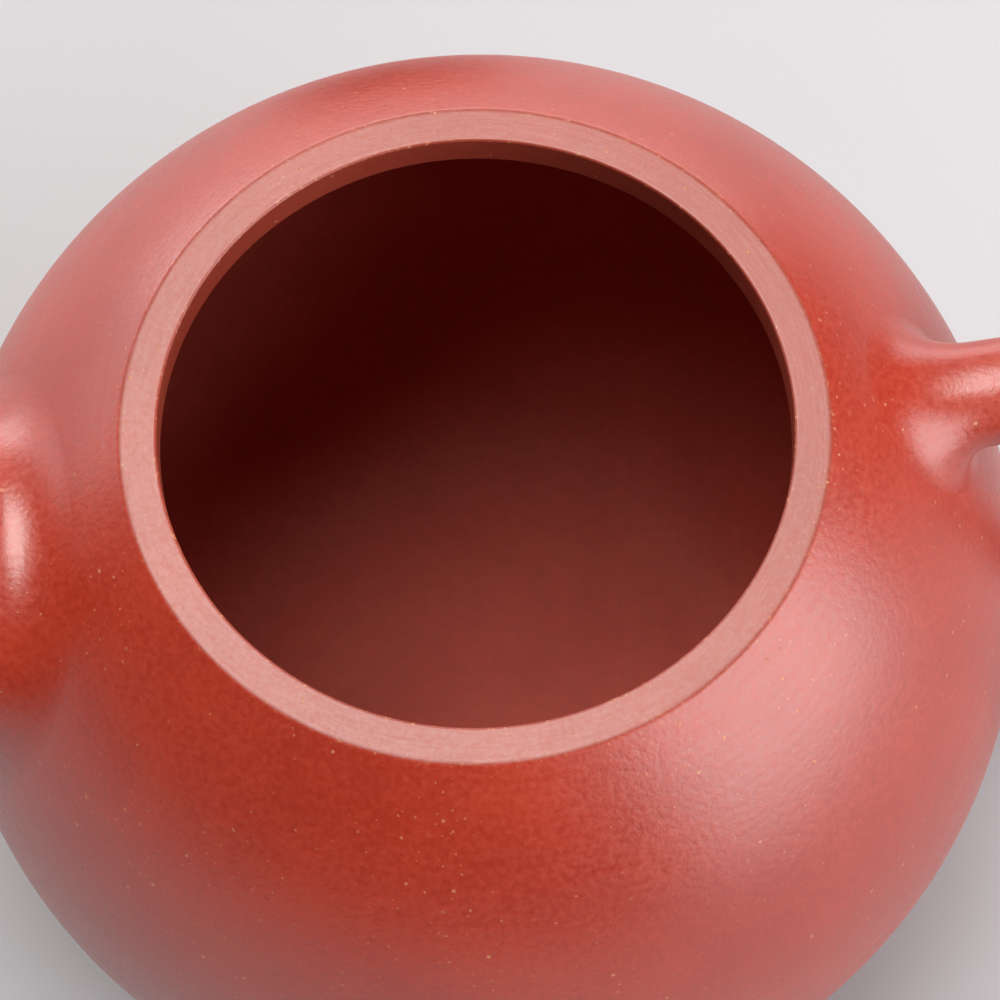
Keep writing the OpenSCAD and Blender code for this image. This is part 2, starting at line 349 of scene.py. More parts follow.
def edge_share(rows):
    """How much of an edge each point of a turned piece is, from how fast its profile turns there:
    0 on gentle curves and flats, and 1 where the radius is under half a millimetre."""
    profile = rows[:, 0]
    legs = np.diff(profile, axis=0, prepend=profile[-1:], append=profile[:1])
    before = length(legs[:-1])[:, 0] + 1e-9
    after = length(legs[1:])[:, 0] + 1e-9
    cosine = np.einsum("ij,ij->i", legs[:-1], legs[1:]) / (before * after)
    bend = np.arccos(np.clip(cosine, -1, 1)) * 2 / (before + after)
    return np.broadcast_to(smooth((bend - 0.6) / 1.4)[:, None], rows.shape[:2])


def add_object(name, data):
    made = bpy.data.objects.new(name, data)
    bpy.context.scene.collection.objects.link(made)
    return made


def make_piece(name, points, triangles, materials, kinds, strokes, edges=None):
    """A smooth mesh object at the origin. kinds gives each triangle's place in materials,
    strokes are the coordinates, in millimetres, that the rubbed lines follow, and edges say how
    much of an edge each point is."""
    points = points.reshape(-1, 3)
    strokes = strokes.reshape(-1, 3)
    edges = np.zeros(len(points)) if edges is None else edges.reshape(-1)
    kept, triangles, kinds = welded(points, triangles, kinds)
    points = points[kept]
    strokes = strokes[kept]
    edges = edges[kept]
    triangles = faced_outwards(points, triangles)

    mesh = bpy.data.meshes.new(name)
    mesh.vertices.add(len(points))
    mesh.vertices.foreach_set("co", (points * MM).astype(np.float32).ravel())
    mesh.loops.add(triangles.size)
    mesh.loops.foreach_set("vertex_index", triangles.astype(np.int32).ravel())
    mesh.polygons.add(len(triangles))
    mesh.polygons.foreach_set("loop_start", np.arange(0, triangles.size, 3, dtype=np.int32))
    mesh.polygons.foreach_set("material_index", kinds.astype(np.int32))
    mesh.polygons.foreach_set("use_smooth", np.ones(len(triangles), dtype=bool))
    mesh.update(calc_edges=True)
    mesh.set_sharp_from_angle(angle=math.radians(SHARP_ANGLE))
    stroke = mesh.attributes.new("stroke", "FLOAT_VECTOR", "POINT")
    stroke.data.foreach_set("vector", strokes.astype(np.float32).ravel())
    edge = mesh.attributes.new("edge", "FLOAT", "POINT")
    edge.data.foreach_set("value", edges.astype(np.float32))
    if mesh.validate():
        raise RuntimeError(f"{name} has faults in its faces")
    for material in materials:
        mesh.materials.append(material)
    return add_object(name, mesh)


def make_rows(name, rows, materials, finish_from=(), strokes=None, edges=None, loop=True):
    """A piece from rows of points, whose last row joins the first if they are a loop. From each
    of the rows in finish_from on, it has the next of its materials."""
    count, columns = rows.shape[:2]
    triangles = grid_triangles(count, columns, wrap_rows=loop)
    bands = np.arange(len(triangles) // (2 * columns))
    kinds = np.repeat(np.searchsorted(finish_from, bands, side="right"), 2 * columns)
    strokes = ring_strokes(rows) if strokes is None else strokes
    return make_piece(name, rows, triangles, materials, kinds, strokes, edges)


def stand_for(piece, body, slot, *nodes):
    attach(piece, body)
    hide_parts(*nodes)


def arc(centre, radius, start, end, steps):
    """Points of a profile on an arc, at angles measured from the r axis."""
    angle = np.linspace(start, end, steps)
    return np.stack([centre[0] + radius * cosd(angle), centre[1] + radius * sind(angle)], axis=-1)


def line(start, end, steps, tight=0.03):
    """Points of a profile on a straight run, with a narrow cell at each end to hold its edges."""
    start = np.asarray(start, dtype=float)
    end = np.asarray(end, dtype=float)
    edge = min(0.2, tight / float(np.linalg.norm(end - start)))
    t = np.concatenate([[0.0], np.linspace(edge, 1 - edge, steps), [1.0]])[:, None]
    return mix(start, end, t)


def up_of(point, centre_z):
    """How far a point of a profile rises, as seen from a place on the axis."""
    return math.degrees(math.atan2(point[1] - centre_z, point[0]))


def revolved(profile, columns=COLUMNS):
    """The profile (r, z) carried round the Z axis, as rows of points."""
    around = turns(columns)
    r = profile[:, 0, None]
    return stack(r * cosd(around), r * sind(around), profile[:, 1, None])


def ring_strokes(rows):
    """Stroke coordinates of a turned piece: the length along its profile, with a little drift."""
    step = length(np.diff(rows[:, 0], axis=0, prepend=rows[:1, 0]))
    along = np.cumsum(step)[:, None]
    return stack(along, rows[..., 0] * STROKE_DRIFT, rows[..., 1] * STROKE_DRIFT)


def tube_strokes(rings, radius, around):
    """Stroke coordinates of a drawn tube: a circle across it, so that the lines run along it."""
    middles = rings.mean(axis=1)
    step = length(np.diff(middles, axis=0, prepend=middles[:1]))
    along = np.cumsum(step)[:, None] * STROKE_DRIFT
    return stack(radius * cosd(around), radius * sind(around), along)


def joined(parts):
    """Several (points, triangles, kinds, strokes) as one, with the triangles renumbered."""
    first = np.cumsum([0] + [len(points) for points, *_ in parts[:-1]])
    return (
        np.concatenate([part[0] for part in parts]),
        np.concatenate([part[1] + start for part, start in zip(parts, first)]),
        np.concatenate([part[2] for part in parts]),
        np.concatenate([part[3] for part in parts]),
    )


def sheet_part(rows, kind, wrap_columns=True, keep=None, strokes=None):
    """A grid of points as a part of a mesh; keep says which of its cells are there."""
    triangles = grid_triangles(*rows.shape[:2], wrap_columns=wrap_columns)
    if keep is not None:
        triangles = triangles[np.repeat(keep.ravel(), 2)]
    strokes = ring_strokes(rows) if strokes is None else strokes
    kinds = np.full(len(triangles), kind)
    return rows.reshape(-1, 3), triangles, kinds, strokes.reshape(-1, 3)


# ---- Body pieces ----

BLOCK = 14


def window_edge(off):
    """Places of the cell block's edge round the spout's window and of the window itself.

    The block reaches BLOCK degrees each way. The window is the circle of the strainer's radius
    about the wall's normal, in degrees of the sheet that lies off the outer surface.
    """
    reach = np.arange(-BLOCK, BLOCK)
    low = np.full(2 * BLOCK, -float(BLOCK))
    edge_az = np.concatenate([reach, -low, -reach, low])
    edge_up = np.concatenate([low, reach, -low, -reach])
    r = SIDE_X + SIDE_R * cosd(SPOUT_UP)
    angle = np.arctan2(edge_up * SIDE_R, edge_az * r)
    window_up = asind(STRAINER_R / (SIDE_R + off))
    window_az = asind(STRAINER_R / (r + off))
    return (edge_up, edge_az), (window_up * np.sin(angle), window_az * np.cos(angle))


def wall_sheet(surface, ups, off, kind):
    """One face of the wall: rows of the surface, and a patch whose rings run to the window."""
    az = turns(COLUMNS)
    rows = surface(ups[:, None], az, off)
    in_up = (ups[:-1] > SPOUT_UP - BLOCK - 0.5) & (ups[:-1] < SPOUT_UP + BLOCK - 0.5)
    in_az = (az > SPOUT_AZ - BLOCK - 0.5) & (az < SPOUT_AZ + BLOCK - 0.5)
    keep = ~(in_up[:, None] & in_az)
    (edge_up, edge_az), (window_up, window_az) = window_edge(off)
    t = np.linspace(0, 1, 8)[:, None]
    patch_up = SPOUT_UP + mix(edge_up, window_up, t)
    patch_az = SPOUT_AZ + mix(edge_az, window_az, t)
    patch = surface(patch_up, patch_az, off)
    along = np.radians(patch_up - ups[0]) * SIDE_R
    patch_strokes = stack(along, patch[..., 0] * STROKE_DRIFT, patch[..., 1] * STROKE_DRIFT)
    return rows, patch, [
        sheet_part(rows, kind, keep=keep),
        sheet_part(patch, kind, strokes=patch_strokes),
    ]


def body_wall(materials):
    """The beaten wall: an outer sheet, an inner sheet a wall's thickness inside it, the edges
    at the base and the shoulder, and the round window behind the spout."""
    low_out = asind((BASE_T - KEEL_Z) / CROWN_R)
    low_in = asind((BASE_T - KEEL_Z) / INNER_R)
    high = [JOIN - 0.05, JOIN]
    ups_out = np.concatenate([[low_out, low_out + 0.05], np.arange(-48.5, JOIN - 0.3), high])
    ups_in = np.concatenate([[low_in, low_in + 0.05], np.arange(-53.5, JOIN - 0.3), high])
    outer, outer_window, outer_parts = wall_sheet(clay_wall, ups_out, 0.0, 0)
    inner, inner_window, inner_parts = wall_sheet(wall_point, ups_in, -WALL_T, 1)
    inner_parts = [(p, t[:, ::-1], k, s) for p, t, k, s in inner_parts]
    base_edge = sheet_part(np.stack([inner[0], outer[0]]), 1)
    join_edge = sheet_part(np.stack([outer[-1], inner[-1]]), 1)
    tunnel = sheet_part(np.stack([outer_window[-1], inner_window[-1]]), 1)
    points, triangles, kinds, strokes = joined(
        outer_parts + inner_parts + [base_edge, join_edge, tunnel]
    )
    piece = make_piece("body_skin", points, triangles, materials, kinds, strokes)
    stand_for(piece, "pot", "red_clay", "body_wall")


def shoulder(materials):
    """The shoulder slab: the crown's arc up to the cut, a rounded edge, the flat cut face, a
    finer rounded edge, the upright cut and the crown's inner arc back."""
    shape = bpy.context.scene.teapot_shape
    edge_up = acosd(MOUTH_FACE_R / CROWN_R)
    corner_out = np.array([MOUTH_FACE_R, MOUTH_Z])
    down_slope = corner_out + [sind(edge_up), -cosd(edge_up)]
    corner_in = np.array([MOUTH_R, MOUTH_Z])
    outer_edge = round_corner(down_slope, corner_out, corner_in, shape.mouth_outer_edge)
    inner_edge = round_corner(corner_out, corner_in, [MOUTH_R, 0], shape.mouth_inner_edge)
    low_up = asind((SLAB_LOW_Z - CROWN_Z) / INNER_R)

    start_up = up_of(outer_edge[0], CROWN_Z)
    ups = np.concatenate([[JOIN + 1e-6, JOIN + 0.05], np.arange(JOIN + 0.5, start_up - 0.2, 0.5)])
    ups = np.concatenate([ups, [start_up - 0.05]])
    around = turns(COLUMNS)
    outside = clay_wall(ups[:, None], around)
    cut = np.concatenate(
        [
            outer_edge,
            line(outer_edge[-1], inner_edge[0], 10)[1:-1],
            inner_edge,
            line(inner_edge[-1], [MOUTH_R, SLAB_LOW_Z], 6)[1:],
        ]
    )
    inside = arc([0, CROWN_Z], INNER_R, low_up - 0.05, JOIN, 16)
    rows = np.concatenate([outside, revolved(cut), revolved(inside)])
    finish_from = (len(ups) + INTO_EDGE, len(ups) + len(cut))
    piece = make_rows("shoulder_skin", rows, materials, finish_from, edges=edge_share(rows))
    stand_for(piece, "pot", "red_clay", "shoulder_slab")


def mouth_bead(materials):
    """The bead that deepens the upright cut, with a rounded lower edge."""
    low_z = MOUTH_Z - MOUTH_WALL_H
    back_r = math.sqrt(INNER_R**2 - (low_z - CROWN_Z) ** 2)
    back_up = asind((low_z - CROWN_Z) / INNER_R)
    top_up = asind((SLAB_LOW_Z - CROWN_Z) / INNER_R)
    edge = round_corner([MOUTH_R, MOUTH_Z], [MOUTH_R, low_z], [back_r, low_z], BEAD_EDGE)
    profile = np.concatenate(
        [
            line([MOUTH_R, SLAB_LOW_Z], edge[0], 5)[:-1],
            edge,
            line(edge[-1], [back_r, low_z], 5)[1:],
            arc([0, CROWN_Z], INNER_R, back_up, top_up, 8)[1:-1],
        ]
    )
    rows = revolved(profile)
    piece = make_rows("mouth_bead", rows, materials, edges=edge_share(rows))
    stand_for(piece, "pot", "red_clay_cut", "mouth_ring")


def base(materials):
    """The base disc: a flat underside, a rounded foot edge, the keel's arc and a flat floor."""
    foot_r = math.sqrt(CROWN_R**2 - KEEL_Z**2)
    foot_up = asind(-KEEL_Z / CROWN_R)
    top_up = asind((BASE_T - KEEL_Z) / CROWN_R)
    top_r = CROWN_R * cosd(top_up)
    slope = [foot_r + sind(-foot_up), cosd(foot_up)]
    edge = round_corner([0, 0], np.array([foot_r, 0.0]), slope, FOOT_EDGE)
    edge_up = up_of(edge[-1], KEEL_Z)
    side = arc([0, KEEL_Z], CROWN_R, edge_up, top_up, 10)[1:]
    floor = line([top_r, BASE_T], [0, BASE_T], 24)[1:]
    rows = revolved(np.concatenate([line([0, 0], edge[0], 24)[:-1], edge, side, floor]))
    finish_from = (len(rows) - len(floor),)
    piece = make_rows("base_skin", rows, materials, finish_from, edges=edge_share(rows), loop=False)
    stand_for(piece, "pot", "red_clay", "base_disc")


def base_fillet(materials):
    """The slip pressed into the inner corner: an arc tangent to the floor and the wall, which it
    runs a little under at both ends."""
    sink = 0.02
    arc_z = BASE_T + BASE_FILLET_R
    arc_r = math.sqrt((INNER_R - BASE_FILLET_R) ** 2 - (KEEL_Z - arc_z) ** 2)
    wall_angle = up_of([arc_r, arc_z], KEEL_Z)
    corner_angle = asind((BASE_T - KEEL_Z) / INNER_R)
    corner_r = INNER_R * cosd(corner_angle)
    profile = np.concatenate(
        [
            arc([arc_r, arc_z], BASE_FILLET_R + sink, -90, wall_angle, 32),
            arc([0, KEEL_Z], INNER_R + 4 * sink, wall_angle, corner_angle, 10),
            line([corner_r, BASE_T - 4 * sink], [arc_r, BASE_T - 4 * sink], 6),
        ]
    )
    piece = make_rows("base_fillet", revolved(profile), materials)
    stand_for(piece, "pot", "red_clay_inside", "base_seam_fillet")


# ---- Spout ----

SPOUT_OUT = np.array([-cosd(SPOUT_RISE), 0.0, sind(SPOUT_RISE)])
SPOUT_ROOT = wall_point(SPOUT_UP, SPOUT_AZ)
SPOUT_LEN = (MOUTH_Z - SPOUT_ROOT[2]) / SPOUT_OUT[2]
SPOUT_RUN = SPOUT_LEN - SPOUT_START
# Depth of the hollow curve along the spout's side
SPOUT_WAIST = 0.25
SPOUT_TAPER = (SPOUT_LOW_R - SPOUT_TIP_R + SPOUT_WAIST * math.pi) / SPOUT_RUN


def spout_surface(t, around, low_r, tip_r, waist):
    """A slightly waisted cone along the spout's axis.

    r = the straight cone's radius less waist sin(pi t), where t runs from the root to the mouth's
    level on the axis.
    """
    across = np.array([0.0, -1.0, 0.0])
    rise = np.cross(SPOUT_OUT, across)
    r = mix(low_r, tip_r, t) - waist * np.sin(np.pi * np.clip(t, 0, 1))
    middle = SPOUT_ROOT + (SPOUT_START + t * SPOUT_RUN)[..., None] * SPOUT_OUT
    radial = cosd(around)[:, None] * across + sind(around)[:, None] * rise
    return middle + r[..., None] * radial


def reach_level(level, around, low_r, tip_r, waist):
    """How far along each line of the cone its height is level, found by Newton steps."""
    t = np.full(len(around), 1.0)
    for _ in range(8):
        height = spout_surface(t, around, low_r, tip_r, waist)[:, 2]
        ahead = spout_surface(t + 1e-4, around, low_r, tip_r, waist)[:, 2]
        t = t + (level - height) * 1e-4 / (ahead - height)
    return t


def spout_tube(materials):
    """The spout: the waisted cone, a rounded lip level with the mouth and the bore inside."""
    lip = bpy.context.scene.teapot_shape.lip_edge
    around = turns(TUBE_COLUMNS)
    outside = (SPOUT_LOW_R, SPOUT_TIP_R, SPOUT_WAIST)
    inside = (SPOUT_LOW_R - SPOUT_WALL, SPOUT_TIP_R - SPOUT_LIP, 0.0)
    t = np.concatenate([[0.0, 0.004], np.linspace(0, 1, 48)[1:-1], [0.995, 1.0]])[:, None]
    outer = spout_surface(t * reach_level(MOUTH_Z - lip, around, *outside), around, *outside)
    inner = spout_surface(t[::-1] * reach_level(MOUTH_Z - lip, around, *inside), around, *inside)
    turn = np.linspace(0, 90, 9)[1:]
    rounds = []
    for cone in (outside, inside):
        levels = MOUTH_Z - lip + lip * sind(turn)
        rounds.append(
            np.stack([spout_surface(reach_level(z, around, *cone), around, *cone) for z in levels])
        )
    inward = unit((rounds[1][-1] - rounds[0][-1]) * [1, 1, 0])
    inset = lip * (1 - cosd(turn))[:, None, None]
    outer_edge = rounds[0] + inset * inward
    inner_edge = rounds[1] - inset * inward
    flat = mix(outer_edge[-1], inner_edge[-1], np.array([0.1, 0.5, 0.9])[:, None, None])
    rows = np.concatenate([outer, outer_edge, flat, inner_edge[::-1], inner])
    strokes = tube_strokes(rows, SPOUT_LOW_R, around)
    finish_from = (len(rows) - len(inner),)
    piece = make_rows("spout_skin", rows, materials, finish_from, strokes, edge_share(rows))
    stand_for(piece, "pot", "red_clay", "spout_tube")


def spout_root(materials):
    """The luted root: the flare onto the body, a hidden face in the wall and the channel up."""
    around = turns(TUBE_COLUMNS)
    start = np.zeros(1)
    outer_end = spout_surface(start, around, SPOUT_LOW_R, SPOUT_TIP_R, 0.0)
    inner_end = spout_surface(start, around, SPOUT_LOW_R - SPOUT_WALL, SPOUT_TIP_R, 0.0)
    skin = flare(
        outer_end, SPOUT_OUT, SPOUT_TAPER, SPOUT_UP, SPOUT_AZ, SPOUT_FOOT, around, 40, SPOUT_LANDING
    )
    in_wall = -0.4
    window_r = STRAINER_R + 0.15
    foot = foot_places(SPOUT_UP, SPOUT_AZ, *SPOUT_FOOT, around)
    window = foot_places(SPOUT_UP, SPOUT_AZ, window_r, window_r, around)
    foot[:, 2] = in_wall
    window[:, 2] = in_wall
    hidden = from_places(mix(foot, window, np.linspace(0, 1, 12)[:, None, None]), SPOUT_AZ)
    channel = mix(hidden[-1], inner_end, np.linspace(0, 1, 12)[1:, None, None])
    rows = np.concatenate([skin, hidden, channel])
    strokes = tube_strokes(rows, SPOUT_LOW_R, around)
    piece = make_rows("spout_root_skin", rows, materials, (len(skin),), strokes)
    stand_for(piece, "pot", "red_clay", "spout_root")


# ---- Handle ----


def bezier(p, t):
    return (1 - t) ** 3 * p[0] + 3 * (1 - t) ** 2 * t * p[1] + 3 * (1 - t) * t**2 * p[2] + t**3 * p[3]


def strap_line(t):
    """Points of the handle's centre line: one cubic out to its farthest point, one back in."""
    top = wall_point(HANDLE_TOP_UP, 0)
    low = wall_point(HANDLE_LOW_UP, 0)
    end = np.array([HANDLE_REACH, 0.0, BELLY_Z + HANDLE_END_LIFT])
    leave = HANDLE_LEAVE * np.array([cosd(HANDLE_LEAVE_UP), 0.0, sind(HANDLE_LEAVE_UP)])
    fall = np.array(HANDLE_FALL)
    upper = [top, top + leave, end - fall, end]
    lower = [end, end + HANDLE_LOW_FALL * fall, low + HANDLE_RETURN, low]
    t = np.asarray(t, dtype=float)[..., None]
    return np.where(t < 1, bezier(upper, np.minimum(t, 1)), bezier(lower, np.maximum(t - 1, 0)))


def strap_rings(t, around, side=1.0):
    """Ellipses across the centre line, wider at the top than at the foot."""
    step = 1e-4
    ahead = unit(strap_line(t + step) - strap_line(t - step)) * side
    w = mix(STRAP_TOP_W, STRAP_LOW_W, (t - HANDLE_FROM) / (HANDLE_TO - HANDLE_FROM))
    across = np.array([0.0, 1.0, 0.0])
    rise = np.cross(ahead, across)
    level = cosd(around)[:, None] * across
    upright = STRAP_FLATNESS * sind(around)[:, None] * rise[:, None]
    return strap_line(t)[:, None] + w[:, None, None] * (level + upright)


def capped(rings):
    """Rings with a closed middle at both ends."""
    first = np.broadcast_to(rings[0].mean(axis=0), rings[0].shape)
    last = np.broadcast_to(rings[-1].mean(axis=0), rings[-1].shape)
    return np.concatenate([[first], rings, [last]])


def handle_strap(materials):
    """The strap between the two roots."""
    around = turns(TUBE_COLUMNS)
    t = np.linspace(HANDLE_FROM, HANDLE_TO, 200)
    rows = capped(strap_rings(t, around))
    strokes = tube_strokes(rows, STRAP_TOP_W, around)
    piece = make_rows("handle_skin", rows, materials, strokes=strokes, loop=False)
    stand_for(piece, "pot", "red_clay", "handle_strap")


def handle_root(name, node, t, side, up, foot, materials):
    """A flare from the strap's end onto the body, closed inside the wall."""
    around = turns(TUBE_COLUMNS)
    tube = strap_rings(np.array([t]), around, side)[0]
    out = unit(strap_line(t + 1e-4) - strap_line(t - 1e-4)) * side
    skin = flare(tube, out, 0.0, up, 0.0, foot, around, 32)
    share = np.array([0.97, 0.8, 0.4])[:, None, None]
    places = foot_places(up, 0.0, *foot, around)
    hidden = from_places(mix(np.array([up, 0.0, -0.5]), places - [0, 0, 0.5], share), 0.0)
    rows = capped(np.concatenate([skin, hidden]))
    strokes = tube_strokes(rows, STRAP_TOP_W, around)
    piece = make_rows(name, rows, materials, strokes=strokes, loop=False)
    stand_for(piece, "pot", "red_clay", node)


# ---- Lid ----

# The lid is worked out as it sits in the mouth, and then swung round to where it lies.
KNOB_H = KNOB_Z - MOUTH_Z
LIE_TILT = math.degrees(math.atan2(KNOB_H, LID_R) + math.asin(KNOB_R / math.hypot(KNOB_H, LID_R)))
SWING_Z = MOUTH_Z - MOUTH_WALL_H / 2
LYING_Z = LID_R * sind(LIE_TILT) + MOUTH_WALL_H / 2 * cosd(LIE_TILT)
SWING_Y = (SWING_Z - LYING_Z) / sind(LIE_TILT)


def laid_down(points):
    """Turns seated points back by 180 degrees and the lying tilt, round the swing's level axis."""
    angle = -(180 + LIE_TILT)
    y = points[..., 1] - SWING_Y
    z = points[..., 2] - SWING_Z
    return stack(
        points[..., 0],
        SWING_Y + y * cosd(angle) - z * sind(angle),
        SWING_Z + y * sind(angle) + z * cosd(angle),
    )


def make_lid_piece(name, node, slot, profile, materials, finish_from=(), columns=COLUMNS):
    """A turned ring of the lid, whose profile is a closed loop, laid down behind the pot."""
    rows = revolved(profile, columns)
    strokes = ring_strokes(rows)
    piece = make_rows(name, laid_down(rows), materials, finish_from, strokes, edge_share(rows))
    stand_for(piece, "lid", slot, node)


def lid_dome(materials):
    """The dome: the crown's arc carried on over the mouth, and its inner arc underneath."""
    seam_z = MOUTH_Z + LID_PLATE_T
    outer_seam = asind((seam_z - CROWN_Z) / CROWN_R)
    inner_seam = asind((seam_z - CROWN_Z) / INNER_R)
    outer_vent = acosd(VENT_R / CROWN_R)
    inner_vent = acosd(VENT_R / INNER_R)
    outer = arc([0, CROWN_Z], CROWN_R, outer_vent, outer_seam + 0.05, 60)
    under = arc([0, CROWN_Z], INNER_R, inner_seam, inner_vent, 50)
    seam = arc([0, CROWN_Z], CROWN_R, outer_seam, outer_seam, 1)
    profile = np.concatenate([outer, seam, under])
    make_lid_piece("lid_dome_skin", "lid_dome", "red_clay", profile, materials, (len(outer),))


def lid_plate(materials):
    """The plate that sits on the mouth: the dome's slope, a rounded rim and a flat underside."""
    top_z = MOUTH_Z + LID_PLATE_T
    low_z = MOUTH_Z + SEAT_GAP
    seam_up = asind((top_z - CROWN_Z) / CROWN_R)
    rim_up = acosd(LID_R / CROWN_R)
    slope = [LID_R - sind(rim_up), low_z + cosd(rim_up)]
    inner_r = MOUTH_R - LID_GAP - COLLAR_T
    edge = round_corner(slope, np.array([LID_R, low_z]), [inner_r, low_z], RIM_EDGE)
    edge_up = up_of(edge[0], CROWN_Z)
    side = np.concatenate(
        [
            arc([0, CROWN_Z], CROWN_R, seam_up, seam_up - 0.05, 2),
            arc([0, CROWN_Z], CROWN_R, seam_up - 0.4, edge_up + 0.2, 8),
        ]
    )
    under = line(edge[-1], [inner_r, low_z], 10)[1:]
    inside = line([inner_r, low_z], [inner_r, top_z], 4)[1:]
    profile = np.concatenate([side, edge, under, inside])
    finish_from = (len(side) + INTO_EDGE,)
    make_lid_piece("lid_plate_skin", "lid_plate", "red_clay_cut", profile, materials, finish_from)


def lid_collar(materials):
    """The collar that drops into the mouth, with both lower edges rounded."""
    outer_r = MOUTH_R - LID_GAP
    inner_r = outer_r - COLLAR_T
    top_z = MOUTH_Z + SEAT_GAP
    low_z = top_z - COLLAR_H
    outer_low = np.array([outer_r, low_z])
    inner_low = np.array([inner_r, low_z])
    outer_edge = round_corner([outer_r, top_z], outer_low, inner_low, COLLAR_EDGES[0])
    inner_edge = round_corner(outer_low, inner_low, [inner_r, top_z], COLLAR_EDGES[1])
    profile = np.concatenate(
        [
            line([outer_r, top_z], outer_edge[0], 6)[:-1],
            outer_edge,
            line(outer_edge[-1], inner_edge[0], 5)[1:-1],
            inner_edge,
            line(inner_edge[-1], [inner_r, top_z], 6)[1:],
        ]
    )
    make_lid_piece("lid_collar_skin", "lid_collar", "red_clay_cut", profile, materials)


def lid_knob(materials):
    """The ball knob on its neck, pierced by the vent, whose upper edge is rounded."""
    vent_top = acosd(VENT_R / KNOB_R)
    top = arc([0, KNOB_Z], KNOB_R, vent_top, vent_top, 1)[0]
    neck_angle = -acosd(KNOB_NECK_R / KNOB_R)
    slope = top + [sind(vent_top), -cosd(vent_top)]
    edge = round_corner([VENT_R, KNOB_Z], top, slope, VENT_EDGE)
    edge_up = up_of(edge[-1], KNOB_Z)
    sunk = 0.15
    foot_z = CROWN_Z + math.sqrt(CROWN_R**2 - VENT_R**2) - sunk
    ball = arc([0, KNOB_Z], KNOB_R, edge_up - 0.5, neck_angle, 70)
    profile = np.concatenate(
        [
            line([VENT_R, foot_z], edge[0], 12)[:-1],
            edge,
            ball,
            line(ball[-1], [KNOB_NECK_R, foot_z - sunk], 4)[1:],
        ]
    )
    make_lid_piece("lid_knob_skin", "lid_knob", "red_clay", profile, materials, columns=180)


def knob_root(materials):
    """The hollow of slip round the neck: an arc that runs off under the ball and the dome."""
    arc_r = KNOB_NECK_R + KNOB_ROOT_R
    arc_z = CROWN_Z + math.sqrt(CROWN_R**2 - arc_r**2) + KNOB_ROOT_R - 0.04
    curve = arc([arc_r, arc_z], KNOB_ROOT_R, 180, 272, 24)
    sunk = 0.6
    corner = [KNOB_NECK_R - sunk, DOME_TOP_Z - sunk]
    hidden = line(corner, [KNOB_NECK_R - sunk, arc_z], 3)[1:]
    profile = np.concatenate([curve, line(curve[-1], corner, 3)[1:], hidden])
    make_lid_piece("knob_root_skin", "knob_root", "red_clay", profile, materials, columns=180)


# ---- Shader groups ----


class Wires:
    """A short way to add nodes to a tree and join them."""

    def __init__(self, tree):
        self.tree = tree

    def put(self, socket, value):
        if isinstance(value, bpy.types.NodeSocket):
            self.tree.links.new(value, socket)
        else:
            socket.default_value = value

    def node(self, kind, inputs=None, **settings):
        made = self.tree.nodes.new(kind)
        for name, value in settings.items():
            setattr(made, name, value)
        for key, value in (inputs or {}).items():
            self.put(made.inputs[key], value)
        return made

    def maths(self, operation, a, b=0.0, c=0.0):
        return self.node("ShaderNodeMath", {0: a, 1: b, 2: c}, operation=operation).outputs[0]

    def scaled(self, vector, scale):
        made = self.node("ShaderNodeVectorMath", {0: vector, "Scale": scale}, operation="SCALE")
        return made.outputs[0]

    def in_steps(self, vector, size):
        """The vector counted in steps of that size."""
        return self.scaled(vector, self.maths("DIVIDE", 1.0, size))

    def place(self):
        return self.node("ShaderNodeTexCoord").outputs["Object"]

    def noise(self, vector, scale, detail, roughness=0.5):
        inputs = {"Vector": vector, "Scale": scale, "Detail": detail, "Roughness": roughness}
        return self.node("ShaderNodeTexNoise", inputs).outputs

    def added(self, a, b):
        return self.node("ShaderNodeVectorMath", {0: a, 1: b}, operation="ADD").outputs[0]

    def ramp(self, value, low, high, to_low=0.0, to_high=1.0):
        """value from low to high as to_low to to_high, along an S-shaped step."""
        inputs = {"Value": value, 1: low, 2: high, 3: to_low, 4: to_high}
        made = self.node("ShaderNodeMapRange", inputs, interpolation_type="SMOOTHSTEP")
        return made.outputs["Result"]

    def tint(self, share, a, b):
        made = self.node("ShaderNodeMix", data_type="RGBA")
        self.put(made.inputs[0], share)
        self.put(made.inputs[6], a)
        self.put(made.inputs[7], b)
        return made.outputs[2]


def new_group(name, inputs, outputs):
    """A shader group with float inputs (name and usual value) and float outputs."""
    tree = bpy.data.node_groups.new(name, "ShaderNodeTree")
    for label, usual in inputs:
        socket = tree.interface.new_socket(label, in_out="INPUT", socket_type="NodeSocketFloat")
        socket.default_value = usual
    for label in outputs:
        tree.interface.new_socket(label, in_out="OUTPUT", socket_type="NodeSocketFloat")
    wires = Wires(tree)
    return wires, wires.node("NodeGroupInput").outputs, wires.node("NodeGroupOutput").inputs


# Grains: how ragged their outlines are, their radii and their full core, in cells or shares of
# the radius; and how many patches a metre holds, with the share's factors off and in a patch
GRAIN_RAGGED = 0.16
GRAIN_LEAST_R = 0.07
GRAIN_SPREAD_R = 0.14
GRAIN_CORE = 0.6
PATCH_SCALE = 110.0
PATCH_FACTORS = (0.2, 2.4)


